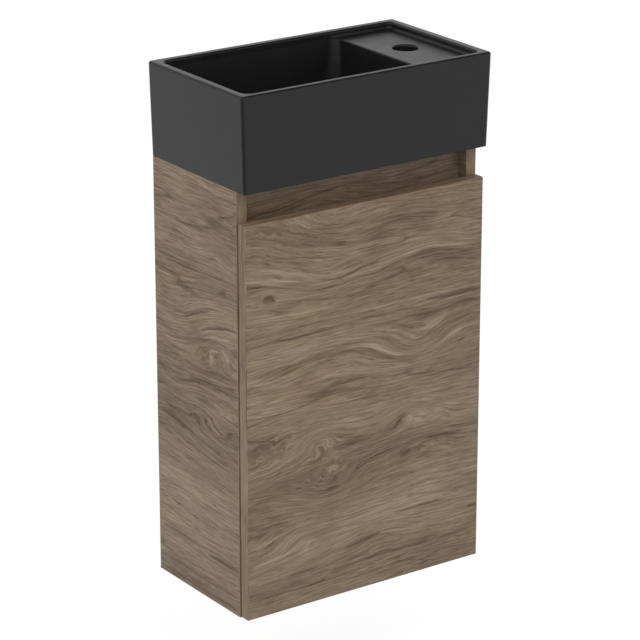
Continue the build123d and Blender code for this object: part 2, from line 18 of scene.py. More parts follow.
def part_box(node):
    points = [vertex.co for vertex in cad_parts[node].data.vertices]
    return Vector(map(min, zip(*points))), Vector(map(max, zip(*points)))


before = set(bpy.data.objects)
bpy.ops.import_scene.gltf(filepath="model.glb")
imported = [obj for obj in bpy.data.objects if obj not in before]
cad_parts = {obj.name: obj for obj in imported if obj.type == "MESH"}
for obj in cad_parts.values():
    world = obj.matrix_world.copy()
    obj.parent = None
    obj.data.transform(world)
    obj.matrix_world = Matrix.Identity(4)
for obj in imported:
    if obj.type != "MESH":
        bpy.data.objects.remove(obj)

log = logging.getLogger("vanity")

bpy.context.view_layer.update()

Socket = bpy.types.NodeSocket
Fed = Union[Socket, float, tuple]
Sockets = dict[str, Socket]
Drawn = dict[str, Fed]
Triple = tuple[float, float, float]
MM_PER_METRE = 1000.0
FLOAT, COLOUR, VECTOR = "NodeSocketFloat", "NodeSocketColor", "NodeSocketVector"


class Run(Enum):
    """The axes along a board's grain, across it and through the board."""

    DOOR = ("X", "Z", "Y")
    SIDE = ("Y", "Z", "X")
    LEVEL = ("X", "Y", "Z")
    UPRIGHT_BAND = ("Z", "X", "Y")
    LEVEL_BAND = ("X", "Z", "Y")


class Graph:
    """Adds nodes to one node tree and joins them."""

    def __init__(self, tree: bpy.types.NodeTree) -> None:
        """Keeps the tree that the nodes go in."""
        self.tree = tree

    def feed(self, socket: Socket, value: Fed) -> None:
        """Joins a socket to another, or gives it a plain value.

        Args:
            socket: The input that takes the value.
            value: A socket to join, or a number or tuple to set.
        """
        if isinstance(value, Socket):
            self.tree.links.new(value, socket)
        else:
            socket.default_value = value

    def add(self, kind: str, fed: dict[str | int, Fed] | None = None, **settings: object) -> bpy.types.Node:
        """Adds a node.

        Args:
            kind: The node's type name.
            fed: Values or sockets for its inputs, by name or number.
            settings: Its properties.

        Returns:
            The new node.
        """
        node = self.tree.nodes.new(kind)
        for name, value in settings.items():
            setattr(node, name, value)
        for key, value in (fed or {}).items():
            self.feed(node.inputs[key], value)
        return node

    def math(self, operation: str, *values: Fed, clamp: bool = False) -> Socket:
        """Works on numbers with one operation of the Math node."""
        fed = dict(enumerate(values))
        return self.add("ShaderNodeMath", fed, operation=operation, use_clamp=clamp).outputs[0]

    def plus(self, base: Fed, value: Fed, weight: Fed) -> Socket:
        """Adds a number times its weight to the base."""
        return self.math("ADD", base, self.math("MULTIPLY", value, weight))

    def axes(self, position: Fed) -> Sockets:
        """Parts a vector into its three numbers."""
        return dict(zip("XYZ", self.add("ShaderNodeSeparateXYZ", {0: position}).outputs))

    def point(self, x: Fed, y: Fed, z: Fed) -> Socket:
        """Joins three numbers into a vector."""
        return self.add("ShaderNodeCombineXYZ", {0: x, 1: y, 2: z}).outputs[0]

    def noise(self, at: Fed, scale: float = 1.0, detail: float = 2.0, rough: float = 0.5) -> Socket:
        """Adds noise from 0 to 1 around 0.5, with so many features in a metre and finer layers."""
        fed = {"Vector": at, "Scale": scale, "Detail": detail, "Roughness": rough}
        return self.add("ShaderNodeTexNoise", fed).outputs[0]

    def span(self, value: Fed, low: float, high: float, start: float = 0.0, end: float = 1.0) -> Socket:
        """Maps a range of numbers smoothly to another and stops at its ends."""
        fed = {0: value, 1: low, 2: high, 3: start, 4: end}
        return self.add("ShaderNodeMapRange", fed, interpolation_type="SMOOTHSTEP", clamp=True).outputs[0]

    def mix(self, factor: Fed, first: Fed, second: Fed) -> Socket:
        """Mixes two numbers."""
        return self.add("ShaderNodeMix", {0: factor, 2: first, 3: second}).outputs[0]

    def blend(self, factor: Fed, first: Fed, second: Fed, how: str = "MIX") -> Socket:
        """Mixes two colours.

        Args:
            factor: How much of the second there is.
            first: The first colour.
            second: The second colour.
            how: The way to mix.

        Returns:
            The mixed colour.
        """
        node = self.add("ShaderNodeMix", data_type="RGBA", blend_type=how)
        for number, value in ((0, factor), (6, first), (7, second)):
            self.feed(node.inputs[number], value)
        return node.outputs[2]

    def tint(self, factor: Fed, colour: tuple, share: float) -> Socket:
        """Mixes a colour with one of its kind that is share times as bright."""
        return self.blend(factor, (*colour, 1.0), (*(share * part for part in colour), 1.0))

    def ramp(self, factor: Fed, stops: tuple[tuple[float, tuple], ...]) -> Socket:
        """Turns a number into a colour.

        Args:
            factor: The number, from 0 to 1.
            stops: Each stop's place and colour.

        Returns:
            The colour.
        """
        node = self.add("ShaderNodeValToRGB", {0: factor})
        points = node.color_ramp.elements
        while len(points) < len(stops):
            points.new(0.5)
        for point, (place, colour) in zip(points, stops):
            point.position = place
            point.color = (*colour, 1.0)
        return node.outputs[0]


class SharedEffect:
    """A node group that is built once and placed in several materials."""

    name = "effect"
    takes: dict[str, str] = {}
    gives: dict[str, str] = {}

    def draw(self, graph: Graph, taken: Sockets) -> Drawn:
        """Makes the effect's nodes."""
        raise NotImplementedError

    def tree(self) -> bpy.types.NodeTree:
        """Builds the group, or finds it if it's built already.

        Returns:
            The node group.
        """
        if self.name in bpy.data.node_groups:
            return bpy.data.node_groups[self.name]
        made = bpy.data.node_groups.new(self.name, "ShaderNodeTree")
        for name, kind in self.takes.items():
            made.interface.new_socket(name=name, in_out="INPUT", socket_type=kind)
        for name, kind in self.gives.items():
            made.interface.new_socket(name=name, in_out="OUTPUT", socket_type=kind)
        graph = Graph(made)
        entry, leave = graph.add("NodeGroupInput"), graph.add("NodeGroupOutput")
        given = self.draw(graph, {name: entry.outputs[name] for name in self.takes})
        for name, value in given.items():
            graph.feed(leave.inputs[name], value)
        return made

    def place(self, graph: Graph, **fed: Fed) -> Sockets:
        """Puts the group in a graph.

        Args:
            graph: The graph that uses the effect.
            fed: Its inputs by name, with spaces as underscores.

        Returns:
            Its outputs by name.
        """
        node = graph.add("ShaderNodeGroup", node_tree=self.tree())
        for name, value in fed.items():
            graph.feed(node.inputs[name.replace("_", " ")], value)
        return {name: node.outputs[name] for name in self.gives}


class SwirlMask(SharedEffect):
    """A soft oval round one place of a board, 1 in its middle."""

    name = "Swirl mask"
    takes = {
        "Along": FLOAT, "Across": FLOAT, "Middle Along": FLOAT, "Middle Across": FLOAT,
        "Reach Along": FLOAT, "Reach Across": FLOAT, "Height": FLOAT,
    }
    gives = {"Mask": FLOAT}

    def draw(self, graph: Graph, taken: Sockets) -> Drawn:
        """Makes the oval from two squared distances.

        Args:
            graph: The group's own graph.
            taken: The group's inputs by name.

        Returns:
            The oval times its height.
        """
        squares = []
        for way in ("Along", "Across"):
            off = graph.math("SUBTRACT", taken[way], taken[f"Middle {way}"])
            off = graph.math("DIVIDE", off, taken[f"Reach {way}"])
            squares.append(graph.math("MULTIPLY", off, off))
        total = graph.math("ADD", *squares)
        bell = graph.math("POWER", math.e, graph.math("MULTIPLY", total, -1.0))
        return {"Mask": graph.math("MULTIPLY", bell, taken["Height"])}


class StreakMask(SharedEffect):
    """One streak of a board's figure, soft at its ends and across it."""

    name = "Streak mask"
    takes = {
        "Along": FLOAT, "Across": FLOAT, "Start": FLOAT, "End": FLOAT,
        "Level": FLOAT, "Half Width": FLOAT, "Strength": FLOAT,
    }
    gives = {"Mask": FLOAT}
    taper = 0.45
    least_swell = 0.05

    def draw(self, graph: Graph, taken: Sockets) -> Drawn:
        """Makes the streak, which tapers from its middle to both ends.

        Args:
            graph: The group's own graph.
            taken: The group's inputs by name.

        Returns:
            The streak times its strength.
        """
        length = graph.math("SUBTRACT", taken["End"], taken["Start"])
        part = graph.math("SUBTRACT", taken["Along"], taken["Start"])
        part = graph.math("DIVIDE", part, length, clamp=True)
        swell = graph.math("MULTIPLY", part, graph.math("SUBTRACT", 1.0, part))
        swell = graph.math("POWER", graph.math("MULTIPLY", swell, 4.0), self.taper)
        off = graph.math("SUBTRACT", taken["Across"], taken["Level"])
        off = graph.math("DIVIDE", off, taken["Half Width"])
        square = graph.math("MULTIPLY", off, off)
        off = graph.math("DIVIDE", square, graph.math("ADD", swell, self.least_swell))
        bell = graph.math("POWER", math.e, graph.math("MULTIPLY", off, -1.0))
        return {"Mask": graph.math("MULTIPLY", graph.math("MULTIPLY", bell, swell), taken["Strength"])}


@dataclass(frozen=True)
class Swirl:
    """A place where the grain lines rise or dip, or close into an eye.

    The numbers are its place along and across the grain, its reach both ways and how
    far it lifts the lines, in metres.
    """

    along: float
    across: float
    reach_along: float
    reach_across: float
    lift: float

    def lift_at(self, along: float, across: float) -> float:
        """Works out how far the swirl lifts the lines at one place.

        Args:
            along: The place along the grain.
            across: The place across the grain.

        Returns:
            The lift in metres.
        """
        far_along = (along - self.along) / self.reach_along
        far_across = (across - self.across) / self.reach_across
        return self.lift * math.exp(-(far_along**2 + far_across**2))


@dataclass(frozen=True)
class Streak:
    """A streak that follows the grain lines.

    The numbers are one place on it along and across the grain, its start and end
    along the grain, its half width, in metres, and its strength.
    """

    along: float
    across: float
    start: float
    end: float
    half_width: float
    strength: float


def swirls(*rows: tuple[float, ...]) -> tuple[Swirl, ...]:
    """Makes swirls, each from a row of its numbers in millimetres."""
    return tuple(Swirl(*(part / MM_PER_METRE for part in row)) for row in rows)


def streaks(*rows: tuple[float, ...]) -> tuple[Streak, ...]:
    """Makes streaks, each from a row of its sizes in millimetres and its strength."""
    return tuple(Streak(*(part / MM_PER_METRE for part in row[:-1]), row[-1]) for row in rows)


@dataclass(frozen=True)
class Figure:
    """The figure of one board: where its grain swirls, curls and streaks.

    A ruffle is a swirl whose lines are finely curled, and its lift is the curl's height.
    """

    name: str
    swirls: tuple[Swirl, ...] = ()
    ruffles: tuple[Swirl, ...] = ()
    dark: tuple[Streak, ...] = ()
    light: tuple[Streak, ...] = ()
    sway: float = 0.006
    seed: float = 0.0


class FigureEffect(SharedEffect):
    """Bends the lines of the grain and lays the figure's streaks along them."""

    takes = {"Along": FLOAT, "Across": FLOAT, "Depth": FLOAT}
    gives = {"Bent": FLOAT, "Dark": FLOAT, "Light": FLOAT}
    curl_scale = 78.0
    curl_squeeze = 1.4
    sways = ((0.45, 9.0, 1.0), (0.5, 42.0, 0.4))

    def __init__(self, figure: Figure) -> None:
        """Keeps the figure that the group draws."""
        self.figure = figure
        self.name = f"Figure of the {figure.name}"

    def draw(self, graph: Graph, taken: Sockets) -> Drawn:
        """Makes the bent coordinate first, then the streaks on it.

        Args:
            graph: The group's own graph.
            taken: The group's inputs by name.

        Returns:
            The bent coordinate and the masks of dark and light streaks.
        """
        along, across, depth = taken["Along"], taken["Across"], taken["Depth"]
        lift: Fed = 0.0
        for swirl in self.figure.swirls:
            lift = graph.math("ADD", lift, self.oval(graph, along, across, swirl))
        for ruffle in self.figure.ruffles:
            at = graph.point(along, graph.math("MULTIPLY", across, self.curl_squeeze), depth)
            curl = graph.math("SUBTRACT", graph.noise(at, self.curl_scale), 0.5)
            lift = graph.plus(lift, curl, self.oval(graph, along, across, ruffle))
        bent = graph.math("SUBTRACT", across, lift)

        seed = graph.math("ADD", depth, self.figure.seed)
        for stretch, scale, share in self.sways:
            at = graph.point(graph.math("MULTIPLY", along, stretch), across, seed)
            sway = graph.math("SUBTRACT", graph.noise(at, scale, 1.0), 0.5)
            bent = graph.plus(bent, sway, 2.0 * share * self.figure.sway)
        dark = self.streaks(graph, along, bent, self.figure.dark)
        light = self.streaks(graph, along, bent, self.figure.light)
        return {"Bent": bent, "Dark": dark, "Light": light}

    def oval(self, graph: Graph, along: Fed, across: Fed, swirl: Swirl) -> Socket:
        """Places the oval of one swirl.

        Args:
            graph: The group's own graph.
            along: The coordinate along the grain.
            across: The coordinate across the grain.
            swirl: The swirl.

        Returns:
            Its lift.
        """
        return SwirlMask().place(
            graph, Along=along, Across=across, Middle_Along=swirl.along, Middle_Across=swirl.across,
            Reach_Along=swirl.reach_along, Reach_Across=swirl.reach_across, Height=swirl.lift,
        )["Mask"]

    def streaks(self, graph: Graph, along: Fed, bent: Fed, streaks: tuple[Streak, ...]) -> Fed:
        """Adds up streaks, each on the grain line through its own place.

        Args:
            graph: The group's own graph.
            along: The coordinate along the grain.
            bent: The bent coordinate across it.
            streaks: The streaks.

        Returns:
            Their mask.
        """
        total: Fed = 0.0
        for streak in streaks:
            lifts = (swirl.lift_at(streak.along, streak.across) for swirl in self.figure.swirls)
            level = streak.across - sum(lifts)
            mask = StreakMask().place(
                graph, Along=along, Across=bent, Start=streak.start, End=streak.end,
                Level=level, Half_Width=streak.half_width, Strength=streak.strength,
            )["Mask"]
            total = graph.math("ADD", total, mask)
        return total


class WoodDecor(SharedEffect):
    """Greyish-brown wood decor: bands, growth lines, fine grain and pores."""

    name = "Wood decor"
    takes = {"Along": FLOAT, "Bent": FLOAT, "Depth": FLOAT, "Dark": FLOAT, "Light": FLOAT, "Contrast": FLOAT}
    gives = {"Color": COLOUR, "Roughness": FLOAT, "Height": FLOAT}
    comb_pitch = 0.0037
    comb_drift = 26.0
    mean_tone = 0.515
    # broad zones, bands, lines, fine grain, comb, pores, rings
    weights = (0.55, 0.26, 0.40, 1.05, 0.085, -0.16, -0.26)
    dark_depth = 0.62
    light_lift = 0.48
    olive_tint = (1.0, 0.985, 0.86, 1.0)
    rosy_tint = (1.0, 0.945, 0.945, 1.0)
    stops = (
        (0.00, (0.070, 0.042, 0.021)),
        (0.25, (0.120, 0.079, 0.046)),
        (0.42, (0.166, 0.115, 0.072)),
        (0.55, (0.205, 0.146, 0.094)),
        (0.72, (0.262, 0.193, 0.131)),
        (1.00, (0.350, 0.270, 0.195)),
    )

    def draw(self, graph: Graph, taken: Sockets) -> Drawn:
        """Adds the layers into one tone and colours it.

        Args:
            graph: The group's own graph.
            taken: The group's inputs by name.

        Returns:
            The decor's colour, roughness and relief.
        """
        along, bent, depth = taken["Along"], taken["Bent"], taken["Depth"]

        def layer(stretch: float, scale: float, detail: float, rough: float = 0.5) -> Socket:
            """Reads noise that is drawn out along the grain, less its mean."""
            at = graph.point(graph.math("DIVIDE", along, stretch), bent, depth)
            return graph.math("SUBTRACT", graph.noise(at, scale, detail, rough), 0.5)

        broad = layer(5.0, 13.0, 1.0)
        bands = layer(12.0, 46.0, 2.0, 0.55)
        lines = layer(13.0, 190.0, 2.0, 0.6)
        fine = layer(18.0, 430.0, 2.0, 0.7)
        pores = graph.span(layer(15.0, 900.0, 0.0), 0.12, 0.22)
        gaps = graph.span(layer(8.0, 24.0, 0.0), -0.08, 0.14)

        ring = graph.math("ABSOLUTE", layer(9.0, 32.0, 1.0))
        ring = graph.math("MULTIPLY", graph.span(ring, 0.0, 0.022, 1.0, 0.0), gaps)

        busy = graph.span(layer(4.0, 17.0, 1.0), -0.12, 0.16, 0.45, 1.35)
        drift = graph.math("MULTIPLY", layer(7.0, 60.0, 1.0), self.comb_drift)
        phase = graph.math("ADD", graph.math("MULTIPLY", bent, math.tau / self.comb_pitch), drift)
        combed = graph.span(layer(9.0, 75.0, 1.0), -0.06, 0.16)
        comb = graph.math("MULTIPLY", graph.math("SINE", phase), combed)
        bands = graph.math("MULTIPLY", bands, busy)
        lines = graph.math("MULTIPLY", lines, busy)
        tone: Fed = self.mean_tone
        for pattern, weight in zip((broad, bands, lines, fine, comb, pores, ring), self.weights):
            tone = graph.plus(tone, pattern, weight)
        tone = graph.plus(0.5, graph.math("SUBTRACT", tone, 0.5), taken["Contrast"])
        broken = graph.math("MULTIPLY", layer(16.0, 240.0, 1.0), 2.4)
        broken = graph.math("ADD", broken, 0.85, clamp=True)
        dark = graph.math("MULTIPLY", graph.math("MULTIPLY", taken["Dark"], broken), self.dark_depth)
        light = graph.math("MULTIPLY", graph.math("MULTIPLY", taken["Light"], broken), self.light_lift)
        tone = graph.math("ADD", graph.math("SUBTRACT", tone, dark), light, clamp=True)

        colour = graph.ramp(tone, self.stops)
        olive = graph.span(layer(4.0, 15.0, 1.0), 0.02, 0.20)
        colour = graph.blend(graph.math("MULTIPLY", olive, 0.55), colour, self.olive_tint, "MULTIPLY")
        rosy = graph.span(layer(3.0, 19.0, 1.0), -0.03, -0.22)
        colour = graph.blend(graph.math("MULTIPLY", rosy, 0.5), colour, self.rosy_tint, "MULTIPLY")

        relief = graph.math("MULTIPLY", fine, 0.6)
        relief = graph.math("SUBTRACT", relief, graph.math("MULTIPLY", pores, 0.7))
        relief = graph.plus(relief, lines, 0.5)
        rough = graph.math("SUBTRACT", 0.52, graph.math("MULTIPLY", lines, 0.35))
        rough = graph.math("ADD", rough, graph.math("MULTIPLY", pores, 0.16), clamp=True)
        return {"Color": colour, "Roughness": rough, "Height": relief}


class BoardFace(SharedEffect):
    """Finds the two wide faces of a board, which carry the decor paper."""

    name = "Board face"
    takes = {"Depth": FLOAT, "Low": FLOAT, "High": FLOAT}
    gives = {"Mask": FLOAT}
    paper = 0.0003

    def draw(self, graph: Graph, taken: Sockets) -> Drawn:
        """Compares the place in the thickness with both faces."""
        near = [graph.math("COMPARE", taken["Depth"], taken[side], self.paper) for side in ("Low", "High")]
        return {"Mask": graph.math("MAXIMUM", *near)}


class Chipboard(SharedEffect):
    """The cut core of a board: pressed flakes in pale and brown tones."""

    name = "Cut chipboard"
    takes = {"Position": VECTOR}
    gives = {"Color": COLOUR, "Roughness": FLOAT, "Height": FLOAT}
    flake_scales = (420.0, 1100.0)
    stops = (
        (0.0, (0.20, 0.125, 0.066)),
        (0.4, (0.40, 0.275, 0.158)),
        (1.0, (0.60, 0.460, 0.300)),
    )

    def draw(self, graph: Graph, taken: Sockets) -> Drawn:
        """Makes flakes from cells of two sizes.

        Args:
            graph: The group's own graph.
            taken: The group's inputs by name.

        Returns:
            The core's colour, roughness and relief.
        """
        tones = []
        for scale in self.flake_scales:
            cells = graph.add("ShaderNodeTexVoronoi", {"Vector": taken["Position"], "Scale": scale})
            tones.append(graph.add("ShaderNodeSeparateXYZ", {0: cells.outputs["Color"]}).outputs[0])
        dust = graph.noise(taken["Position"], 300.0, 3.0)
        tone = graph.math("MULTIPLY", graph.math("ADD", *tones), 0.35)
        dust = graph.math("MULTIPLY", dust, 0.3)
        tone = graph.math("ADD", tone, dust, clamp=True)
        rough = graph.span(tone, 0.0, 1.0, 0.92, 0.75)
        return {"Color": graph.ramp(tone, self.stops), "Roughness": rough, "Height": tone}


class FineMottle(SharedEffect):
    """Slow clouds and a fine ripple, as on glaze, plastic or cast metal."""

    name = "Fine mottle"
    takes = {"Position": VECTOR, "Cloud Scale": FLOAT, "Ripple Scale": FLOAT}
    gives = {"Cloud": FLOAT, "Ripple": FLOAT}

    def draw(self, graph: Graph, taken: Sockets) -> Drawn:
        """Reads two noises."""
        cloud = graph.noise(taken["Position"], taken["Cloud Scale"], 3.0, 0.55)
        return {"Cloud": cloud, "Ripple": graph.noise(taken["Position"], taken["Ripple Scale"], 2.0, 0.6)}


class BrushedMetal(SharedEffect):
    """Rolling lines and stains of pressed metal."""

    name = "Brushed metal"
    takes = {"Position": VECTOR, "Stretch": VECTOR}
    gives = {"Lines": FLOAT, "Stain": FLOAT}

    def draw(self, graph: Graph, taken: Sockets) -> Drawn:
        """Draws noise out along one axis, over slow stains.

        Args:
            graph: The group's own graph.
            taken: The group's inputs by name.

        Returns:
            The lines and the stains, each from 0 to 1.
        """
        fed = {0: taken["Position"], 1: taken["Stretch"]}
        at = graph.add("ShaderNodeVectorMath", fed, operation="MULTIPLY")
        lines = graph.noise(at.outputs[0], 1.0, 3.0, 0.7)
        stain = graph.noise(taken["Position"], 130.0, 3.0, 0.6)
        return {"Lines": lines, "Stain": stain}


class BoxMask(SharedEffect):
    """Finds the part of a surface that lies inside one box."""

    name = "Box mask"
    takes = {"Position": VECTOR, "Low": VECTOR, "High": VECTOR}
    gives = {"Mask": FLOAT}

    def draw(self, graph: Graph, taken: Sockets) -> Drawn:
        """Takes the least distance in from all six faces.

        Args:
            graph: The group's own graph.
            taken: The group's inputs by name.

        Returns:
            1 inside the box and 0 outside it.
        """
        inward = []
        for first, second in (("Position", "Low"), ("High", "Position")):
            off = graph.add("ShaderNodeVectorMath", {0: taken[first], 1: taken[second]}, operation="SUBTRACT")
            inward += list(graph.add("ShaderNodeSeparateXYZ", {0: off.outputs[0]}).outputs)
        least = inward[0]
        for distance in inward[1:]:
            least = graph.math("MINIMUM", least, distance)
        return {"Mask": graph.math("GREATER_THAN", least, 0.0)}


@dataclass(frozen=True)
class Finish:
    """What every finish has: a name, its shine, and a way to draw its surface."""

    name: str
    index: float = 1.42
    metal: float = 0.0
    bump: float = 0.0001

    def surface(self, graph: Graph, position: Socket) -> Drawn:
        """Draws the surface."""
        raise NotImplementedError

    def make(self) -> bpy.types.Material:
        """Makes the material.

        Returns:
            The material.
        """
        made = bpy.data.materials.new(self.name)
        made.use_nodes = True
        graph = Graph(made.node_tree)
        shader = made.node_tree.nodes["Principled BSDF"]
        position = graph.add("ShaderNodeTexCoord").outputs["Object"]
        drawn = self.surface(graph, position)
        shader.inputs["IOR"].default_value = self.index
        shader.inputs["Metallic"].default_value = self.metal
        height = drawn.pop("Height")
        bump = graph.add("ShaderNodeBump", {"Height": height, "Distance": self.bump, "Strength": 1.0})
        for name, value in drawn.items():
            graph.feed(shader.inputs[name], value)
        graph.feed(shader.inputs["Normal"], bump.outputs[0])
        return made

    def dress(self, *nodes: str) -> None:
        """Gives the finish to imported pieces.

        Args:
            nodes: The pieces' names.
        """
        made = self.make()
        for node in nodes:
            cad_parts[node].material_slots[0].material = made
            log.info("%s: %s", node, self.name)


@dataclass(frozen=True)
class BoardFinish(Finish):
    """Decor paper on both faces of one board, and bare chipboard where it was cut."""

    node: str = ""
    run: Run = Run.LEVEL
    figure: Figure = Figure("plain boards")
    contrast: float = 1.0

    def surface(self, graph: Graph, position: Socket) -> Drawn:
        """Draws the decor along the board's grain and the core on its cut edges.

        Args:
            graph: The material's graph.
            position: The place on the object.

        Returns:
            Its Base Color, Roughness and Height.
        """
        axes = graph.axes(position)
        along, across, depth = (axes[axis] for axis in self.run.value)
        bent = FigureEffect(self.figure).place(graph, Along=along, Across=across, Depth=depth)
        decor = WoodDecor().place(graph, Along=along, Depth=depth, Contrast=self.contrast, **bent)
        low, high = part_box(self.node)
        thick = "XYZ".index(self.run.value[2])
        face = BoardFace().place(graph, Depth=depth, Low=low[thick], High=high[thick])["Mask"]
        foot = graph.math("COMPARE", axes["Z"], low.z, BoardFace.paper)
        face = graph.math("MAXIMUM", face, foot)
        core = Chipboard().place(graph, Position=position)
        height = graph.plus(decor["Height"], core["Height"], graph.math("SUBTRACT", 1.0, face))
        rough = graph.mix(face, core["Roughness"], decor["Roughness"])
        colour = graph.blend(face, core["Color"], decor["Color"])
        return {"Base Color": colour, "Roughness": rough, "Height": height}


@dataclass(frozen=True)
class BandFinish(Finish):
    """Edge band in the same decor, with its grain along the band."""

    run: Run = Run.LEVEL_BAND

    def surface(self, graph: Graph, position: Socket) -> Drawn:
        """Draws plain straight decor on the band's front and its thin sides.

        Args:
            graph: The material's graph.
            position: The place on the object.

        Returns:
            Its Base Color, Roughness and Height.
        """
        axes = graph.axes(position)
        along, across, depth = (axes[axis] for axis in self.run.value)
        bent = graph.math("ADD", across, depth)
        fed = {"Along": along, "Bent": bent, "Depth": depth, "Dark": 0.0, "Light": 0.0, "Contrast": 0.7}
        decor = WoodDecor().place(graph, **fed)
        return {"Base Color": decor["Color"], "Roughness": decor["Roughness"], "Height": decor["Height"]}


@dataclass(frozen=True)
class BackBoardFinish(Finish):
    """Thin fibreboard: plain decor in front, brown with a screen print behind."""

    fibre: Triple = (0.150, 0.086, 0.043)
    pale_fibre: Triple = (0.240, 0.145, 0.078)
    dark_fibre: Triple = (0.090, 0.050, 0.026)
    weave: float = 2600.0

    def surface(self, graph: Graph, position: Socket) -> Drawn:
        """Draws both faces and tells them apart by the board's thickness.

        Args:
            graph: The material's graph.
            position: The place on the object.

        Returns:
            Its Base Color, Roughness and Height.
        """
        axes = graph.axes(position)
        decor = WoodDecor().place(
            graph, Along=axes["X"], Bent=axes["Z"], Depth=axes["Y"], Dark=0.0, Light=0.0, Contrast=0.55,
        )
        paper = graph.math("COMPARE", axes["Y"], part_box("back_panel")[0].y, BoardFace.paper)
        mottle = FineMottle().place(graph, Position=position, Cloud_Scale=60.0, Ripple_Scale=1500.0)
        weave = [graph.math("SINE", graph.math("MULTIPLY", axes[axis], self.weave)) for axis in "XZ"]
        screen = graph.math("MULTIPLY", *weave)
        fibre = graph.blend(mottle["Cloud"], (*self.fibre, 1.0), (*self.pale_fibre, 1.0))
        flecks = graph.math("MULTIPLY", mottle["Ripple"], 0.5)
        fibre = graph.blend(flecks, fibre, (*self.dark_fibre, 1.0))
        rough = graph.span(paper, 0.0, 1.0, 0.85, 0.5)
        height = graph.mix(paper, screen, decor["Height"])
        return {"Base Color": graph.blend(paper, fibre, decor["Color"]), "Roughness": rough, "Height": height}


@dataclass(frozen=True)
class GlazeFinish(Finish):
    """Satin black glaze, over a pale body that stays bare underneath and behind."""

    colour: Triple = (0.0080, 0.0081, 0.0083)
    body: Triple = (0.56, 0.53, 0.47)
    rough: float = 0.34
    bare_rough: float = 0.85
    raggedness: float = 0.006
    bare: tuple[tuple[Triple, Triple], ...] = ()

    def surface(self, graph: Graph, position: Socket) -> Drawn:
        """Draws the glaze and masks out the bare parts.

        Args:
            graph: The material's graph.
            position: The place on the object.

        Returns:
            Its Base Color, Roughness and Height.
        """
        mottle = FineMottle().place(graph, Position=position, Cloud_Scale=55.0, Ripple_Scale=900.0)
        uneven = graph.math("SUBTRACT", graph.noise(position, 45.0, 3.0), 0.5)
        drift = graph.add("ShaderNodeTexNoise", {"Vector": position, "Scale": 160.0, "Detail": 3.0})
        fed = {0: drift.outputs["Color"], 1: (0.5, 0.5, 0.5)}
        drift = graph.add("ShaderNodeVectorMath", fed, operation="SUBTRACT")
        fed = {0: drift.outputs[0], 1: (self.raggedness, 0.0, self.raggedness), 2: position}
        ragged = graph.add("ShaderNodeVectorMath", fed)
        ragged.operation = "MULTIPLY_ADD"
        bare: Fed = 0.0
        for low, high in self.bare:
            inside = BoxMask().place(graph, Position=ragged.outputs[0], Low=low, High=high)["Mask"]
            bare = graph.math("MAXIMUM", bare, inside)
        glaze = graph.tint(mottle["Cloud"], self.colour, 1.35)
        body = graph.tint(mottle["Ripple"], self.body, 0.72)
        gloss = graph.plus(self.rough, uneven, 0.10)
        ripple = graph.math("SUBTRACT", mottle["Ripple"], 0.5)
        gloss = graph.plus(gloss, ripple, 0.06)
        rough = graph.mix(bare, gloss, self.bare_rough)
        height = graph.plus(mottle["Ripple"], mottle["Cloud"], 0.6)
        return {"Base Color": graph.blend(bare, glaze, body), "Roughness": rough, "Height": height}


@dataclass(frozen=True)
class MetalFinish(Finish):
    """Plated or cast metal with rolling lines and stains."""

    colour: Triple = (0.55, 0.54, 0.52)
    rough: float = 0.32
    stretch: Triple = (300.0, 2500.0, 2500.0)
    metal: float = 1.0

    def surface(self, graph: Graph, position: Socket) -> Drawn:
        """Draws the plating.

        Args:
            graph: The material's graph.
            position: The place on the object.

        Returns:
            Its Base Color, Roughness and Height.
        """
        worn = BrushedMetal().place(graph, Position=position, Stretch=self.stretch)
        colour = graph.tint(worn["Stain"], self.colour, 0.72)
        rough = graph.plus(self.rough - 0.09, worn["Stain"], 0.10)
        rough = graph.plus(rough, worn["Lines"], 0.10)
        return {"Base Color": colour, "Roughness": rough, "Height": worn["Lines"]}


@dataclass(frozen=True)
class MouldedFinish(Finish):
    """Moulded plastic, rubber or silicone."""

    colour: Triple = (0.70, 0.69, 0.65)
    rough: float = 0.45
    clear: float = 0.0

    def surface(self, graph: Graph, position: Socket) -> Drawn:
        """Draws the moulded skin.

        Args:
            graph: The material's graph.
            position: The place on the object.

        Returns:
            Its Base Color, Roughness and Height.
        """
        mottle = FineMottle().place(graph, Position=position, Cloud_Scale=90.0, Ripple_Scale=2200.0)
        colour = graph.tint(mottle["Cloud"], self.colour, 0.86)
        rough = graph.plus(self.rough - 0.05, mottle["Ripple"], 0.10)
        return {"Base Color": colour, "Roughness": rough, "Height": mottle["Ripple"]}

    def make(self) -> bpy.types.Material:
        """Makes the material and lets light through where it's clear.

        Returns:
            The material.
        """
        made = super().make()
        shader = made.node_tree.nodes["Principled BSDF"]
        shader.inputs["Transmission Weight"].default_value = self.clear
        return made


@dataclass(frozen=True)
class BeechFinish(Finish):
    """Bare beech with short dark flecks, as on dowels."""

    stops: tuple[tuple[float, Triple], ...] = (
        (0.25, (0.34, 0.20, 0.10)), (0.5, (0.52, 0.34, 0.19)), (0.8, (0.62, 0.43, 0.26)),
    )

    def surface(self, graph: Graph, position: Socket) -> Drawn:
        """Draws the grain along the dowels.

        Args:
            graph: The material's graph.
            position: The place on the object.

        Returns:
            Its Base Color, Roughness and Height.
        """
        axes = graph.axes(position)
        at = graph.point(graph.math("MULTIPLY", axes["X"], 0.12), axes["Y"], axes["Z"])
        grain = graph.noise(at, 1400.0, 2.0, 0.6)
        rough = graph.span(grain, 0.2, 0.8, 0.8, 0.62)
        return {"Base Color": graph.ramp(grain, self.stops), "Roughness": rough, "Height": grain}


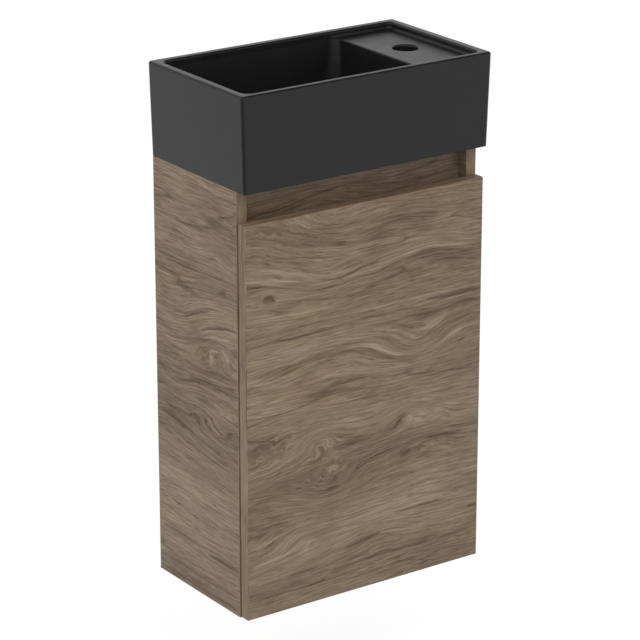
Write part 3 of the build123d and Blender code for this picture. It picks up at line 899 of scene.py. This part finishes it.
@dataclass
class Basin:
    """The ceramic basin, bare where it hides its hollow underside and its back."""

    hollow_half: float = 0.1825
    hollow_back: float = -0.0135
    bowl_front: float = -0.1768
    bowl_roof: float = 0.6235
    glaze_edge: float = 0.012
    glaze_depth: float = 0.0015
    top_edge: float = 0.0192
    past: float = 0.01

    def bare_parts(self) -> tuple[tuple[Triple, Triple], ...]:
        """Lists the boxes in which the body has no glaze.

        Returns:
            The lowest and highest corner of each box.
        """
        low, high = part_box("basin")
        below, behind, edge = low.z - self.past, high.y + self.past, self.glaze_edge
        half = self.hollow_half
        under = (-half, self.bowl_front, below), (half, self.hollow_back, self.bowl_roof)
        back_low = (low.x + edge, high.y - self.glaze_depth, below)
        back = back_low, (high.x - edge, behind, high.z - self.top_edge)
        return under, back

    def dress(self) -> None:
        """Gives the basin its glaze and the joint its silicone."""
        GlazeFinish("matt black glaze", index=1.34, bump=0.00006, bare=self.bare_parts()).dress("basin")
        silicone = MouldedFinish("black silicone", colour=(0.012, 0.012, 0.012), rough=0.38, bump=0.0002)
        silicone.dress("basin_sealant")


@dataclass
class Carcass:
    """The boards of the cabinet, their bands and what holds them together."""

    side: Figure = Figure(
        "left side panel",
        swirls=swirls(
            (-215, 405, 130, 60, 36), (-215, 230, 140, 48, -26), (-150, 364, 24, 17, 15),
            (-112, 362, 20, 14, 12), (-50, 400, 50, 27.3, -12), (-105, 264, 32, 14, 11),
            (-150, 502, 30, 13.6, 11), (-45, 296, 55, 15, -10), (-27, 248, 41, 18.2, 6),
            (-55, 132, 41, 18.2, 7.3),
        ),
        ruffles=swirls(
            (-150, 364, 40, 20, 12), (-110, 270, 45, 18, 11), (-60, 130, 60, 30, 7),
            (-60, 440, 50, 30, 6),
        ),
        dark=streaks(
            (-64, 505.5, -98, -23, 1.8, 0.6), (-155, 469.1, -205, -27, 1.8, 0.8),
            (-45, 467.3, -118, 5, 2.3, 0.4), (-114, 411.4, -132, -86, 3.2, 0.6),
            (-168, 401.8, -205, -127, 2.7, 0.7), (-36, 394.5, -91, 5, 2.7, 0.4),
            (-136, 331.8, -205, -55, 2.7, 0.35), (-91, 309.1, -205, 5, 4.5, 0.35),
            (-27, 241.4, -73, 5, 2.3, 0.9), (-91, 230.9, -195, -45, 1.8, 0.65),
            (-14, 281.8, -27, 5, 4.5, 0.4), (-164, 65.5, -205, -123, 2.7, 0.85),
            (-64, 71.8, -132, 5, 2.3, 0.5), (-91, 26.4, -205, 5, 2.7, 0.5),
            (-91, 9.1, -205, 5, 2.7, 0.5), (-91, 177.3, -136, -27, 1.4, 0.35),
            (-114, 525, -205, -45, 1.4, 0.35), (-136, 208.2, -205, -45, 1.8, 0.4),
            (-100, 262, -260, 60, 34, 0.22), (-100, 335, -260, 60, 12, 0.1),
        ),
        light=streaks(
            (-55, 370.5, -118, -23, 2.3, 0.6), (-141, 361.4, -152, -132, 2.7, 0.8),
            (-170, 362.7, -182, -161, 2.7, 0.65), (-177, 386.4, -205, -136, 1.8, 0.5),
            (-118, 452.3, -205, -64, 1.8, 0.5), (-41, 440.9, -73, -9, 1.8, 0.4),
            (-50, 289.1, -77, -18, 1.8, 0.65), (-105, 266.8, -118, -86, 2.3, 0.6),
            (-155, 500.9, -200, -132, 2.7, 0.5), (-105, 281.8, -200, -68, 1.8, 0.3),
            (-105, 145.5, -200, -27, 2.7, 0.3), (-27, 378.2, -50, -5, 1.8, 0.5),
            (-100, 160, -260, 60, 45, 0.3), (-100, 470, -260, 60, 25, 0.06),
        ),
        seed=3.7,
    )
    far_side: Figure = Figure(
        "right side panel",
        swirls=swirls(
            (-140, 455, 60, 22, 21), (-60, 330, 45, 18, -16), (-150, 215, 55, 20, 18),
            (-40, 110, 50, 18, 12), (-100, 540, 70, 20, -11),
        ),
        ruffles=swirls((-145, 450, 50, 18, 5.5), (-60, 330, 45, 16, 4.5)),
        dark=streaks(
            (-120, 490, -205, -30, 1.8, 0.7), (-90, 410, -160, 5, 2.7, 0.6),
            (-150, 300, -205, -60, 2.7, 0.45), (-60, 260, -130, 5, 2.3, 0.75),
            (-110, 160, -205, -50, 1.8, 0.6), (-70, 60, -150, 5, 2.7, 0.65),
        ),
        light=streaks(
            (-130, 450, -190, -60, 2.3, 0.6), (-60, 330, -100, -20, 2.3, 0.6),
            (-150, 215, -190, -100, 2.7, 0.55), (-80, 120, -180, -10, 2.3, 0.35),
        ),
        seed=11.3,
    )
    plain: Figure = Figure(
        "inner boards",
        swirls=swirls((-90, -110, 70, 16, 12), (70, -60, 60, 16, -11)),
        dark=streaks((-60, -90, -170, 40, 2, 0.5), (80, -140, -20, 178, 2.4, 0.45)),
        seed=21.9,
    )
    rail: Figure = Figure(
        "grip rail",
        swirls=swirls((-60, 565, 60, 14, 8), (90, 555, 70, 14, -7)),
        dark=streaks((-80, 575, -178, 20, 1.8, 0.45), (70, 560, -30, 178, 2, 0.4)),
        seed=31.1,
    )

    def dress(self) -> None:
        """Gives each board, band and fitting of the carcass its finish."""
        self.dress_boards()
        self.dress_bands()
        self.dress_fittings()

    def dress_boards(self) -> None:
        """Gives the boards their decor."""
        near = BoardFinish("decor, left side", node="side_panel_left", run=Run.SIDE, figure=self.side)
        near.dress("side_panel_left")
        far = BoardFinish("decor, right side", node="side_panel_right", run=Run.SIDE, figure=self.far_side)
        far.dress("side_panel_right")
        front = BoardFinish("decor, grip rail", node="grip_rail_front", run=Run.DOOR, figure=self.rail)
        front.dress("grip_rail_front")
        for node in ("bottom_panel", "grip_rail_floor", "rear_top_rail", "shelf"):
            BoardFinish(f"decor, {node.replace('_', ' ')}", node=node, figure=self.plain).dress(node)
        BackBoardFinish("fibreboard").dress("back_panel")

    def dress_bands(self) -> None:
        """Gives the edge bands their decor."""
        upright = BandFinish("decor band, upright", run=Run.UPRIGHT_BAND)
        upright.dress("side_edge_band_left", "side_edge_band_right")
        level = BandFinish("decor band, level", run=Run.LEVEL_BAND)
        level.dress("bottom_edge_band", "grip_rail_edge_band", "shelf_edge_band")

    def dress_fittings(self) -> None:
        """Gives cams, bolts, dowels, shelf pins and bumpers their finishes."""
        grainy = (900.0, 900.0, 900.0)
        cast = MetalFinish("die-cast zinc", colour=(0.47, 0.47, 0.46), rough=0.52, stretch=grainy)
        cast.dress("cam_housings")
        bright = MetalFinish("bright zinc plating", colour=(0.52, 0.54, 0.56), rough=0.34)
        bright.dress("cam_bolts")
        BeechFinish("bare beech").dress("carcass_dowels")
        MetalFinish("nickel plating, pins").dress("shelf_pins")
        MouldedFinish("clear rubber", colour=(0.74, 0.74, 0.72), rough=0.34, clear=0.5).dress("door_bumpers")


@dataclass
class Door:
    """The door board, its bands, and the figure that runs across its face."""

    figure: Figure = Figure(
        "door",
        swirls=swirls(
            (-210, 555, 130, 70, 40), (-62, 460, 60, 22, -11), (102, 472, 60, 20, 10),
            (-157, 455, 15, 7.3, 7.2), (85, 338, 58, 30, -26.5), (-60, 352, 85, 24, 10),
            (-210, 215, 110, 34, -26), (-75, 232, 28, 19, 18), (70, 240, 30, 19, 18),
            (125, 235, 20, 12, 11), (-60, 164, 60, 26, -23), (100, 193, 70, 20, 14),
            (-210, 85, 140, 40, -28), (-100, 104, 45, 17, 9), (30, 72, 68, 22.7, 11),
            (-60, 545, 45, 24, -12), (43, 529, 55, 18.2, 8), (125, 138, 91, 27.3, 5.5),
        ),
        ruffles=swirls(
            (-120, 535, 85, 30, 11), (20, 540, 60, 14, 6), (-160, 235, 45, 22, 16),
            (-70, 225, 30, 20, 13), (85, 235, 35, 18, 12), (-60, 185, 50, 26, 14), (70, 188, 60, 12, 8),
            (-170, 95, 40, 16, 7),
        ),
        dark=streaks(
            (-179, 472.4, -198, -157, 1.8, 0.75), (-52, 459.6, -86, 21, 1.4, 0.6),
            (-57, 450.1, -198, 98, 1.8, 0.5), (125, 461.9, 62, 198, 4.1, 0.5),
            (152, 450.5, 98, 198, 2.3, 0.45), (-157, 455.1, -166, -145, 2.7, 0.9),
            (-148, 389.6, -198, -43, 2.3, 0.85), (-138, 403.3, -198, -75, 1.4, 0.5),
            (143, 398.3, 98, 198, 2.7, 0.85), (134, 382.8, 62, 198, 4.1, 0.5),
            (-11, 392.4, -57, 89, 1.4, 0.35), (80, 279.6, -34, 198, 1.4, 0.3),
            (-161, 242.4, -198, -120, 2.7, 0.5), (-166, 252.4, -198, -143, 1.8, 0.5),
            (-25, 218.7, -63, 16, 1.8, 0.55), (21, 192.4, -23, 66, 1.8, 0.5),
            (67, 188.3, 57, 76, 3.6, 0.8), (134, 196, 98, 155, 2.3, 0.55),
            (-75, 102.8, -107, -38, 2.7, 0.55), (87, 101.5, 46, 127, 2.7, 0.65),
            (-4, 73.3, -38, 26, 3.2, 0.75), (-102, 52.8, -129, -73, 2.7, 0.65),
            (62, 46, -75, 198, 2.3, 0.4), (-61, 159.6, -70, -43, 2.3, 0.6),
            (34, 526.5, 2, 62, 2.3, 0.4), (-166, 28.7, -198, -2, 1.8, 0.3),
            (80, 24.2, -57, 198, 1.8, 0.25), (187, 77.8, 175, 198, 2.7, 0.7),
            (-11, 144.6, -66, 198, 1.4, 0.3), (-120, 530, -330, 120, 30, 0.42),
            (120, 455, -40, 330, 22, 0.16), (0, 190, -260, 260, 22, 0.1),
        ),
        light=streaks(
            (80, 327.4, -34, 198, 2.3, 0.75), (62, 469.6, -16, 193, 2.3, 0.65),
            (89, 350.5, 62, 152, 3.2, 0.35), (-166, 425.1, -198, -43, 2.3, 0.55),
            (-175, 415.1, -198, -120, 1.8, 0.4), (-138, 483.3, -198, -2, 2.3, 0.5),
            (-152, 475.1, -198, -43, 1.8, 0.35), (80, 405.1, -43, 198, 1.4, 0.5),
            (-59, 226.5, -74, -52, 2.7, 0.7), (92, 225.1, 62, 102, 3.2, 0.55),
            (121, 235.1, 114, 132, 2.3, 0.6), (-125, 216, -184, -43, 1.8, 0.5),
            (-57, 186.9, -68, -43, 3.2, 0.55), (-134, 85.5, -184, -116, 3.2, 0.45),
            (25, 342.4, -57, 62, 2.3, 0.4), (125, 265.1, -2, 198, 2.7, 0.25),
            (-57, 62.8, -193, 25, 1.8, 0.35), (2, 496.9, -84, 125, 1.8, 0.35),
            (-20, 345, -260, 260, 26, 0.22), (20, 100, -260, 260, 30, 0.16),
        ),
    )

    def dress(self) -> None:
        """Gives the door and its bands their decor."""
        BoardFinish("decor, door", node="door_panel", run=Run.DOOR, figure=self.figure).dress("door_panel")
        BandFinish("decor band, door sides", run=Run.UPRIGHT_BAND).dress("door_side_bands")
        BandFinish("decor band, door ends", run=Run.LEVEL_BAND).dress("door_end_bands")


@dataclass
class Hinges:
    """The two concealed hinges: cups, links, arms, plates, pins and screws."""

    pressed: tuple[str, ...] = (
        "hinge_cups", "hinge_links_outer", "hinge_links_inner", "hinge_arms", "hinge_plates",
    )
    turned: tuple[str, ...] = ("hinge_cup_pins", "hinge_arm_pins")
    screws: tuple[str, ...] = ("hinge_cup_screws", "hinge_arm_screws", "hinge_plate_screws")

    def dress(self) -> None:
        """Gives the hinges nickel, and their pins and screws zinc."""
        nickel = MetalFinish("nickel plating", colour=(0.58, 0.56, 0.52), rough=0.26, bump=0.00002)
        nickel.dress(*self.pressed)
        plated = MetalFinish("zinc plating, hinges", colour=(0.54, 0.55, 0.56), rough=0.32, bump=0.00002)
        plated.dress(*self.turned, *self.screws)


@dataclass
class WallFixing:
    """The two cabinet hangers and the wall plates that they hook on."""

    def dress(self) -> None:
        """Gives the hangers plastic, their screws zinc and the plates sheet steel."""
        MouldedFinish("off-white plastic", colour=(0.66, 0.65, 0.61)).dress("hanger_left", "hanger_right")
        plated = MetalFinish("zinc plating, hangers", colour=(0.54, 0.55, 0.56))
        plated.dress("hanger_screws", "hanger_adjusters")
        upright = (2500.0, 2500.0, 250.0)
        sheet = MetalFinish("plated sheet", colour=(0.50, 0.53, 0.56), rough=0.38, stretch=upright)
        sheet.dress("wall_plate_left", "wall_plate_right")


@dataclass(frozen=True)
class SoftLamp:
    """One large square lamp, aimed at the middle of the cabinet."""

    name: str
    place: Triple
    size: float
    watts: float


@dataclass(frozen=True)
class Sheet:
    """One level square: the floor, or a black card that only reflections see."""

    name: str
    place: Triple
    half: float
    turn: float


@dataclass
class Studio:
    """The floor, the white surroundings, the lamps, the black cards and the camera."""

    floor_height: float = -0.16
    floor_reach: float = 60.0
    floor_shade: float = 0.80
    shadow_share: float = 0.22
    surround: float = 0.76
    overhead: float = 0.25
    dimming: tuple[float, float] = (0.35, 0.85)
    aim: Triple = (0.0, -0.11, 0.36)
    lamps: tuple[SoftLamp, ...] = (
        SoftLamp("key lamp", (-0.7, -2.7, 3.2), 1.6, 49.0),
        SoftLamp("side lamp", (-3.2, 0.1, 1.8), 1.6, 15.0),
    )
    cards: tuple[Sheet, ...] = (
        Sheet("card_overhead", (0.9, -0.6, 2.4), 1.5, 35.0),
        Sheet("card_on_the_floor", (-2.1, -1.5, -0.15), 1.2, 35.0),
    )
    camera_place: Triple = (-2.2344, -3.2943, 1.7458)
    camera_turn: Triple = (70.38, 0.0, -35.06)
    camera_lens: float = 170.4
    camera_sensor: float = 36.0

    def build(self) -> None:
        """Builds the floor, the surroundings, the lamps, the cards and the camera."""
        bpy.context.scene.view_settings.view_transform = "Standard"
        self.build_floor()
        self.build_world()
        for lamp in self.lamps:
            self.build_lamp(lamp)
        for card in self.cards:
            self.build_card(card)
        self.build_camera()

    def seen_rays(self, graph: Graph) -> Socket:
        """Finds the rays that look straight, by a reflection or through something clear.

        Args:
            graph: The graph of the floor or the world.

        Returns:
            1 for those rays.
        """
        path = graph.add("ShaderNodeLightPath").outputs
        seen = graph.math("MAXIMUM", path["Is Camera Ray"], path["Is Glossy Ray"])
        return graph.math("MAXIMUM", seen, path["Is Transmission Ray"])

    def build_sheet(self, graph: Graph, shader: Socket, card: Sheet) -> None:
        """Builds one flat square that isn't part of the object.

        Args:
            graph: The graph of its material.
            shader: What its surface does with light.
            card: The square.
        """
        mesh = bpy.data.meshes.new(card.name)
        made = bmesh.new()
        bmesh.ops.create_grid(made, x_segments=1, y_segments=1, size=card.half)
        about = Matrix.Rotation(math.radians(card.turn), 3, "Z")
        bmesh.ops.rotate(made, cent=(0.0, 0.0, 0.0), matrix=about, verts=made.verts)
        bmesh.ops.translate(made, vec=card.place, verts=made.verts)
        made.to_mesh(mesh)
        made.free()
        graph.feed(graph.tree.nodes["Material Output"].inputs["Surface"], shader)
        mesh.materials.append(bpy.data.materials[card.name])
        sheet = bpy.data.objects.new(card.name, mesh)
        bpy.context.scene.collection.objects.link(sheet)

    def empty_material(self, name: str) -> Graph:
        """Makes a material without a shader.

        Args:
            name: Its name.

        Returns:
            Its graph.
        """
        material = bpy.data.materials.new(name)
        material.use_nodes = True
        graph = Graph(material.node_tree)
        graph.tree.nodes.remove(graph.tree.nodes["Principled BSDF"])
        return graph

    def build_floor(self) -> None:
        """Builds a pale floor that looks white and keeps a soft shadow."""
        graph = self.empty_material("floor")
        cloud = graph.noise(graph.add("ShaderNodeTexCoord").outputs["Object"], 3.0, 3.0)
        shades = [(*(self.floor_shade + more,) * 3, 1.0) for more in (0.0, 0.02)]
        plain = graph.add("ShaderNodeBsdfDiffuse", {"Color": graph.blend(cloud, *shades)})
        shaded = graph.add("ShaderNodeBsdfDiffuse", {"Color": (*(self.shadow_share,) * 3, 1.0)})
        bright = graph.add("ShaderNodeEmission", {"Strength": 1.0 - 0.7 * self.shadow_share})
        white = graph.add("ShaderNodeAddShader", {0: bright.outputs[0], 1: shaded.outputs[0]})
        fed = {0: self.seen_rays(graph), 1: plain.outputs[0], 2: white.outputs[0]}
        seen = graph.add("ShaderNodeMixShader", fed)
        under = graph.add("ShaderNodeNewGeometry").outputs["Backfacing"]
        clear = graph.add("ShaderNodeBsdfTransparent")
        both = graph.add("ShaderNodeMixShader", {0: under, 1: seen.outputs[0], 2: clear.outputs[0]})
        square = Sheet("floor", (0.0, 0.0, self.floor_height), self.floor_reach, 0.0)
        self.build_sheet(graph, both.outputs[0], square)
        log.info("floor: %.2f m below the cabinet", -self.floor_height)

    def build_world(self) -> None:
        """Makes the surroundings white to look at and dimmer as a light."""
        world = bpy.data.worlds.new("white surroundings")
        world.use_nodes = True
        bpy.context.scene.world = world
        graph = Graph(world.node_tree)
        up = graph.axes(graph.add("ShaderNodeTexCoord").outputs["Generated"])["Z"]
        path = graph.add("ShaderNodeLightPath").outputs
        roof = graph.span(up, *self.dimming, 1.0, self.overhead)
        mirrored = graph.math("MAXIMUM", path["Is Glossy Ray"], path["Is Transmission Ray"])
        strength = graph.mix(mirrored, self.surround, roof)
        strength = graph.math("MAXIMUM", strength, path["Is Camera Ray"])
        graph.feed(graph.tree.nodes["Background"].inputs["Strength"], strength)
        graph.tree.nodes["Background"].inputs["Color"].default_value = (1.0, 1.0, 1.0, 1.0)

    def build_lamp(self, lamp: SoftLamp) -> None:
        """Adds one lamp.

        Args:
            lamp: The lamp.
        """
        data = bpy.data.lights.new(lamp.name, "AREA")
        data.shape = "SQUARE"
        data.size = lamp.size
        data.energy = lamp.watts
        made = bpy.data.objects.new(lamp.name, data)
        made.location = lamp.place
        made.rotation_euler = (Vector(self.aim) - Vector(lamp.place)).to_track_quat("-Z", "Y").to_euler()
        bpy.context.scene.collection.objects.link(made)
        log.info("%s: %.0f W", lamp.name, lamp.watts)

    def build_card(self, card: Sheet) -> None:
        """Adds one black card, which only reflections see and which draws the glaze's edges.

        Args:
            card: The card.
        """
        graph = self.empty_material(card.name)
        black = graph.add("ShaderNodeEmission", {"Color": (0.0, 0.0, 0.0, 1.0)})
        self.build_sheet(graph, black.outputs[0], card)
        for ray in ("camera", "diffuse", "transmission", "volume_scatter", "shadow"):
            setattr(bpy.data.objects[card.name], f"visible_{ray}", False)

    def build_camera(self) -> None:
        """Adds the camera at the photograph's viewing angle."""
        data = bpy.data.cameras.new("camera")
        data.lens = self.camera_lens
        data.sensor_width = self.camera_sensor
        made = bpy.data.objects.new("camera", data)
        made.location = self.camera_place
        made.rotation_euler = tuple(math.radians(turn) for turn in self.camera_turn)
        bpy.context.scene.collection.objects.link(made)
        bpy.context.scene.camera = made


def main() -> None:
    """Dresses each sub-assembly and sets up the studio."""
    logging.basicConfig(level=logging.INFO, format="%(name)s: %(message)s")
    for part in (Basin(), Carcass(), Door(), Hinges(), WallFixing()):
        part.dress()
        log.info("%s done", type(part).__name__)
    Studio().build()
    bpy.context.view_layer.update()


if __name__ == "__main__":
    main()
